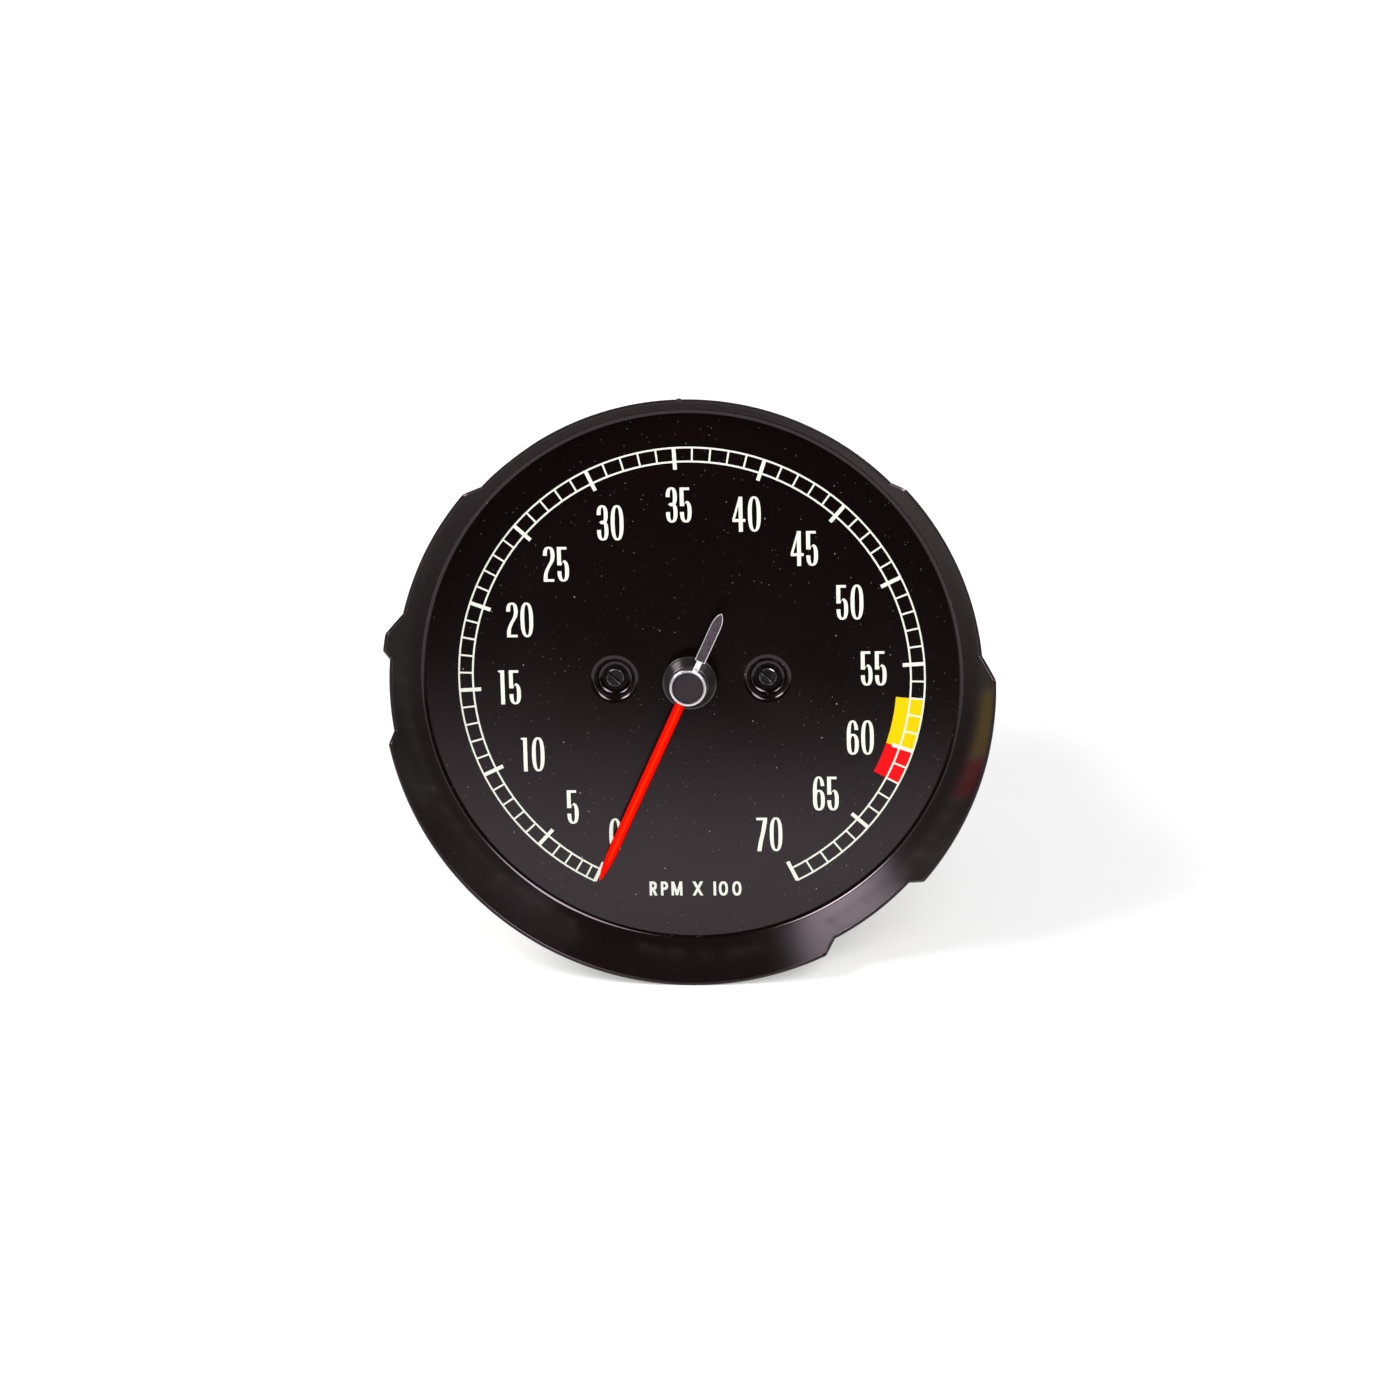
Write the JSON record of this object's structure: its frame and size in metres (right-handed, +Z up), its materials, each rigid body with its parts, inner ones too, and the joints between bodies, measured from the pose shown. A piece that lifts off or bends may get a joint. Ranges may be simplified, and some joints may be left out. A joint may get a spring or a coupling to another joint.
{
  "type": "tachometer",
  "caption": "Round cable-driven tachometer: flared black dish dial with red pointer, drag-cup movement, drawn case, threaded cable ferrule and mounting studs.",
  "frame": {"origin": "on the surface that the gauge stands on, under the middle of its outline", "axes": "+Z up, the dial faces -Y and leans back, +X to the viewer's right"},
  "size_m": [0.1519, 0.1266, 0.1422],
  "materials": {
    "dish_enamel": "satin black enamel, pale paint on the back",
    "scale_ink": "matt pale green-white screen print",
    "caution_ink": "matt yellow screen print",
    "redline_ink": "matt red screen print",
    "black_steel": "chemically blackened steel",
    "pointer_red": "gloss fluorescent red paint",
    "tail_metal": "satin aluminium with bright sheared edges",
    "hub_black": "polished black plastic",
    "ring_chrome": "bright chrome",
    "cap_black": "matt charcoal plastic",
    "bright_steel": "ground steel",
    "brass": "turned brass",
    "spring_bronze": "rolled phosphor bronze strip",
    "cup_aluminium": "spun aluminium",
    "magnet_alloy": "sintered magnet alloy",
    "jewel": "polished red jewel",
    "bush_bronze": "sintered oil-filled bronze",
    "wick_felt": "oiled felt",
    "die_cast": "as-cast zinc alloy",
    "case_zinc": "zinc-plated drawn steel"
  },
  "bodies": {
    "gauge_body": {"face_dish": "dish_enamel", "dial_scale": "scale_ink", "dial_numerals": "scale_ink", "dial_legend": "scale_ink", "caution_band": "caution_ink", "redline_band": "redline_ink", "dial_screws": "black_steel", "stop_pin": "bright_steel", "bridge": "brass", "bridge_screws": "bright_steel", "front_bush": "brass", "shaft_bush": "bush_bronze", "oil_wick": "wick_felt", "field_cup": "bright_steel", "frame": "die_cast", "cable_ferrule": "case_zinc", "rear_case": "case_zinc", "case_screws": "bright_steel", "mounting_studs": "case_zinc"},
    "pointer": {"pointer_blade": "pointer_red", "pointer_tail": "tail_metal", "pointer_hub": "hub_black", "hub_ring": "ring_chrome", "hub_cap": "cap_black", "spindle": "bright_steel", "stop_arm": "brass", "spring_collet": "brass", "speed_cup": "cup_aluminium", "cup_boss": "brass"},
    "regulator": {"regulator_arm": "bright_steel", "hairspring_stud": "brass", "hairspring": "spring_bronze"},
    "drive": {"magnet": "magnet_alloy", "magnet_carrier": "brass", "compensator_ring": "bright_steel", "pivot_jewel": "jewel", "drive_shaft": "bright_steel", "thrust_washers": "bush_bronze", "shaft_clip": "black_steel"}
  },
  "joints": [
    {"name": "pointer_sweep", "type": "hinge", "parent": "gauge_body", "child": "pointer", "pos_m": [0, -0.03248, 0.07113], "axis": [0, 0.9736, -0.2284], "range_deg": [0, 310], "stiffness_Nm_per_rad": 0.0002, "springref_deg": -20.05, "deforming": ["hairspring"]},
    {"name": "drive_spin", "type": "hinge", "parent": "gauge_body", "child": "drive", "pos_m": [0, 0.0162, 0.05971], "axis": [0, 0.9736, -0.2284], "continuous": true},
    {"name": "regulator_turn", "type": "hinge", "parent": "gauge_body", "child": "regulator", "pos_m": [0, -0.02079, 0.06839], "axis": [0, 0.9736, -0.2284], "range_deg": [-12, 12]}
  ]
}
